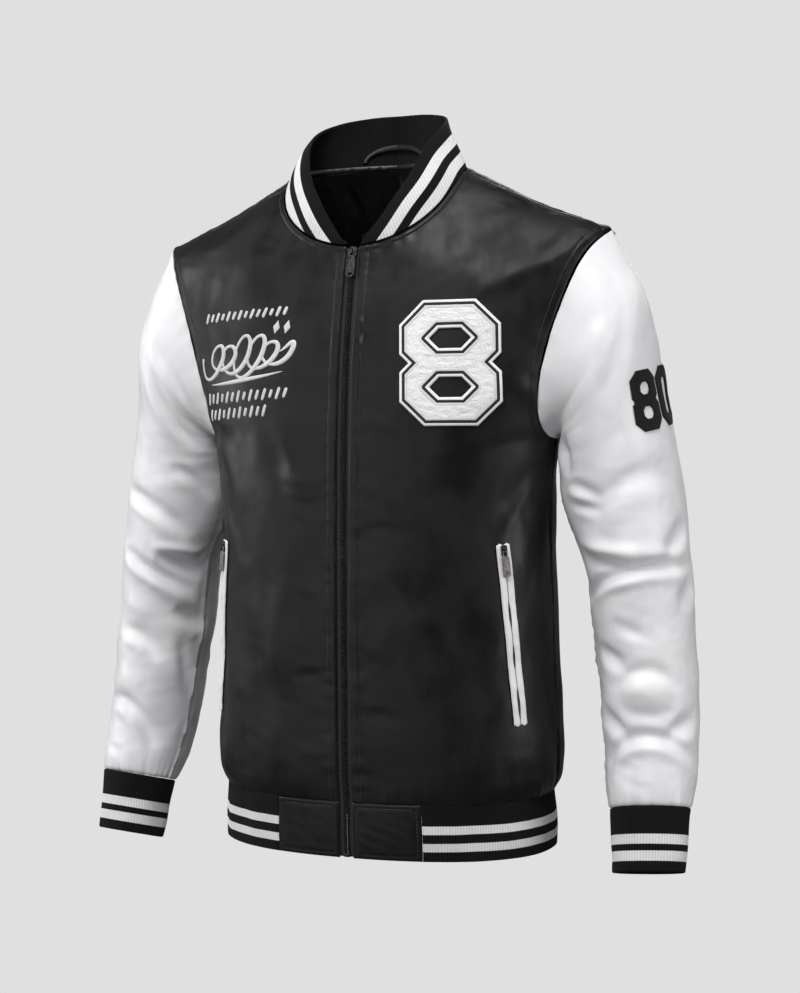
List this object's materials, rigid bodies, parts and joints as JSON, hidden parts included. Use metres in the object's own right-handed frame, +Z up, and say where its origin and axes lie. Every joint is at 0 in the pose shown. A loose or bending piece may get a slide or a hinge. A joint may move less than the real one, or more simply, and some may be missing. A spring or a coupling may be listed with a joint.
{
  "type": "varsity jacket",
  "caption": "Varsity jacket in black faux leather with white sleeves, striped rib collar, cuffs and hem, a zip front and slanted zip pockets, filled out as worn.",
  "frame": {"origin": "on the centre plane at the height where the wearer's shoulders hold the jacket up", "axes": "+Z up, the front faces -Y, and the wearer's left is +X"},
  "size_m": [0.6348, 0.2306, 0.7439],
  "materials": {
    "black_leather": "soft semi-gloss faux leather with a fine grain",
    "white_leather": "satin faux leather",
    "rib_knit": "ribbed knit with two white stripes",
    "satin": "shiny satin lining",
    "zip_tape": "woven zip tape",
    "dark_metal": "gunmetal plating",
    "steel": "grey satin plating",
    "white_felt": "looped pile on felt with a corded edge",
    "black_felt": "flat felt"
  },
  "bodies": {
    "root": {"back": "black_leather", "back_lining": "satin", "chest_patch": "white_felt", "collar": "rib_knit", "cuff_left": "rib_knit", "cuff_right": "rib_knit", "front_left": "black_leather", "front_right": "black_leather", "front_slider": "dark_metal", "hanger_loop": "black_leather", "hem_rib": "rib_knit", "hem_tab_left": "black_leather", "hem_tab_right": "black_leather", "neck_binding": "satin", "pocket_lip_front_left": "white_leather", "pocket_lip_front_right": "white_leather", "pocket_lip_rear_left": "white_leather", "pocket_lip_rear_right": "white_leather", "pocket_slider_left": "dark_metal", "pocket_slider_right": "dark_metal", "pocket_zip_left": "zip_tape", "pocket_zip_right": "zip_tape", "sleeve_left": "white_leather", "sleeve_number_front": "black_felt", "sleeve_number_rear": "black_felt", "sleeve_right": "white_leather", "zip_box": "dark_metal", "zip_chain": "dark_metal", "zip_tape_left": "zip_tape", "zip_tape_right": "zip_tape"},
    "front_pull": {"front_pull": "dark_metal"},
    "pocket_pull_left": {"pocket_pull_left": "steel"},
    "pocket_pull_right": {"pocket_pull_right": "steel"}
  },
  "joints": [
    {"name": "front_pull_swing", "type": "hinge", "parent": "root", "child": "front_pull", "pos_m": [0, -0.07695, -0.0475], "axis": [-1, 0, 0], "range_deg": [0, 150]},
    {"name": "pocket_pull_left_swing", "type": "hinge", "parent": "root", "child": "pocket_pull_left", "pos_m": [0.1501, -0.06808, -0.33561], "axis": [-0.7799, -0.6199, -0.087], "range_deg": [0, 150]},
    {"name": "pocket_pull_right_swing", "type": "hinge", "parent": "root", "child": "pocket_pull_right", "pos_m": [-0.15001, -0.06796, -0.33567], "axis": [-0.7799, 0.6199, 0.087], "range_deg": [0, 150]}
  ]
}
